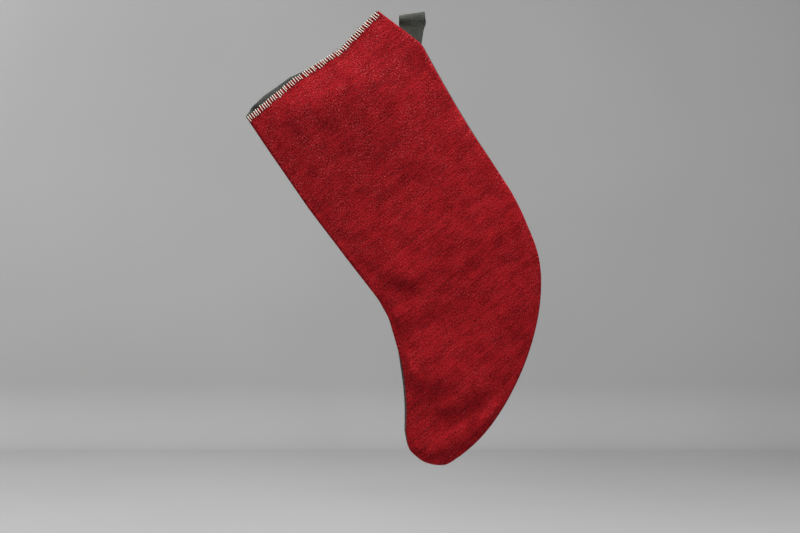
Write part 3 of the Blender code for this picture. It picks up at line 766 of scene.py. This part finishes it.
def lockstitch(name, line, away, node):
    """Stitches along a line in mm on the cloth's surface; away is the way out of the cloth."""
    run = np.concatenate([[0], np.cumsum(np.linalg.norm(np.diff(line, axis=0), axis=1))])
    count = max(int(run[-1] / LOCKSTITCH), 2)
    in_stitch = np.array([0.0, 0.12, 0.3, 0.5, 0.7, 0.88])
    share = np.concatenate([stitch + in_stitch for stitch in range(count)])
    at = share / count * run[-1]
    path = np.column_stack([np.interp(at, run, axis) for axis in line.T])
    out = np.column_stack([np.interp(at, run, axis) for axis in np.broadcast_to(away, line.shape).T])
    lift = 0.2 - 0.5 * np.abs(2 * (share % 1) - 1) ** 5
    piece = threads(name, [path + out * lift[:, None]], 0.22, grey_thread, 5, 0.9)
    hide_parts(node)
    return piece


inside_rows = seam[:, 1] > 7.5
for cloth, name, node in ((front, "seam_needle_stitches", "seam_needle_thread"),
                          (back, "seam_bobbin_stitches", "seam_bobbin_thread")):
    line = cloth.turned_in(cloth.centre + 0.2, cloth.thickness + 0.1)[inside_rows]
    stitches = lockstitch(name, line, np.array([0.0, cloth.side, 0.0]), node)
    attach(stitches, "stocking")
middle_columns = np.arange(3, ACROSS - 2)
outer_line = back.at(8.5 / ROW_STEP, middle_columns, 0.45)
inner_line = back.at(8.5 / ROW_STEP, middle_columns, -1.35 - 0.45)
looks_out = back.outward()[5, middle_columns]
hem_needle = lockstitch("hem_needle_stitches", outer_line, looks_out, "hem_needle_thread")
hem_bobbin = lockstitch("hem_bobbin_stitches", inner_line, -looks_out, "hem_bobbin_thread")
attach(hem_needle, "stocking")
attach(hem_bobbin, "stocking")


# The hanging loop. One strip of the charcoal canvas, folded in two lengthwise and stitched down
# its open edge, bent over into an eye and its two ends sewn into the seam between the allowances.
TAPE_WIDTH = 26.0
TAPE_LENGTH = 78.0
SEAM_NEAR = np.array([-12.44, 0.0, -13.39])
SEAM_FAR = np.array([9.44, 0.0, -30.2])
OUTWARDS = np.array([0.6092, 0.0, 0.793])
STITCH_AT = 0.925


def tape_lines():
    """The tape's middle line at its two edges, from the sewn-in front end over the top to the back end."""
    sides = [(SEAM_NEAR - 9 * OUTWARDS, SEAM_FAR - 9 * OUTWARDS, 0.75),
             (SEAM_NEAR - 4 * OUTWARDS, SEAM_FAR - 4 * OUTWARDS, 0.75),
             (SEAM_NEAR, SEAM_FAR, 0.75),
             ((-12.9, 0, -11.0), (10.9, 0, -21.5), 0.9),
             ((-13.1, 0, -9.4), (12.0, 0, -15.0), 1.4),
             ((-13.0, 0, -7.9), (13.9, 0, -9.4), 2.3),
             ((-13.1, 0, -6.6), (13.9, 0, -6.4), 3.1),
             ((-13.0, 0, -5.2), (13.5, 0, -3.6), 3.5),
             ((-13.1, 0, -3.6), (13.2, 0, -0.6), 3.3),
             ((-13.0, 0, -2.2), (13.0, 0, 1.6), 2.2)]
    top = [((-13.0, 0, -1.5), (13.0, 0, 2.5), 0.0)]
    rows = [(near, far, -y) for near, far, y in sides] + top
    rows += [(near, far, y) for near, far, y in sides[::-1]]
    near = np.array([np.array(near, float) + (0, y, 0) for near, _, y in rows])
    far = np.array([np.array(far, float) + (0, y, 0) for _, far, y in rows])
    return near, far


TAPE_ROWS = 150
near_edge, far_edge = (smooth_path(line, TAPE_ROWS) for line in tape_lines())
shares = [0, 0.012, 0.035] + list(np.linspace(0.07, STITCH_AT - 0.04, 26)) + [
    STITCH_AT - 0.02, STITCH_AT, STITCH_AT + 0.02, 0.962, 0.985, 1.0]
offs = [0, 0.42, 0.58] + [0.6] * 26 + [0.56, 0.4, 0.56, 0.62, 0.56, 0.28]
one_face = list(zip(shares, offs))
section = one_face + [(0.985, 0.0)] + [(share, -off) for share, off in one_face][:0:-1]
share, off = np.array(section).T
middle = near_edge[:, None] * (1 - share[:, None]) + far_edge[:, None] * share[:, None]
along = np.gradient(middle, axis=0)
width_way = (far_edge - near_edge)[:, None]
tape_out = np.cross(np.broadcast_to(width_way, along.shape), along)
tape_out /= np.linalg.norm(tape_out, axis=-1)[..., None]
if tape_out[TAPE_ROWS // 2, 10, 2] < 0:
    tape_out = -tape_out
# the under face's cloth places lie 40 mm away from the upper one's, so that their weaves differ
tape_across = share * TAPE_WIDTH + (off < 0) * 40.0
tape_down = np.linspace(0, TAPE_LENGTH, TAPE_ROWS + 1)[:, None]
tape_flat = np.stack(np.broadcast_arrays(tape_across, tape_down), -1)
wave = 0.16 * lumps(tape_flat, 5.0, 31) + 0.09 * lumps(tape_flat, 1.8, 32)
tape_points = middle + tape_out * (off + wave * (np.abs(off) > 0.3) * np.sign(off))[..., None]
tape_faces = net(TAPE_ROWS + 1, len(section), closed=True).tolist()
last = TAPE_ROWS * len(section)
tape_faces += [list(range(len(section)))[::-1], list(range(last, last + len(section)))]
tape_canvas = finish("loop_tape", canvas((0.014, 0.0155, 0.013), (0.075, 0.08, 0.066), (0.24, 0.25, 0.2)))
tape_mesh = bpy.data.meshes.new("loop_tape")
tape_mesh.from_pydata((tape_points.reshape(-1, 3) * MM).tolist(), [], tape_faces)
tape_mesh.shade_smooth()
tape_mesh.materials.append(tape_canvas)
tape_places = tape_mesh.attributes.new("cloth", "FLOAT_VECTOR", "POINT")
tape_depth = np.zeros_like(tape_flat[..., :1])
tape_places.data.foreach_set("vector", np.concatenate([tape_flat, tape_depth], -1).ravel())
loop_tape = bpy.data.objects.new("loop_tape", tape_mesh)
bpy.context.scene.collection.objects.link(loop_tape)
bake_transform(loop_tape)
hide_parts("hanging_loop", "loop_tails")

stitch_column = shares.index(STITCH_AT)
stitch_middle = middle[8:-8, stitch_column]
stitch_out = tape_out[8:-8, stitch_column]
outer_stitches = stitch_middle + stitch_out * 0.42
inner_stitches = stitch_middle - stitch_out * 0.42
loop_needle = lockstitch("loop_needle_stitches", outer_stitches, stitch_out, "loop_needle_thread")
loop_bobbin = lockstitch("loop_bobbin_stitches", inner_stitches, -stitch_out, "loop_bobbin_thread")
for stitches in (loop_needle, loop_bobbin):
    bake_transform(stitches)
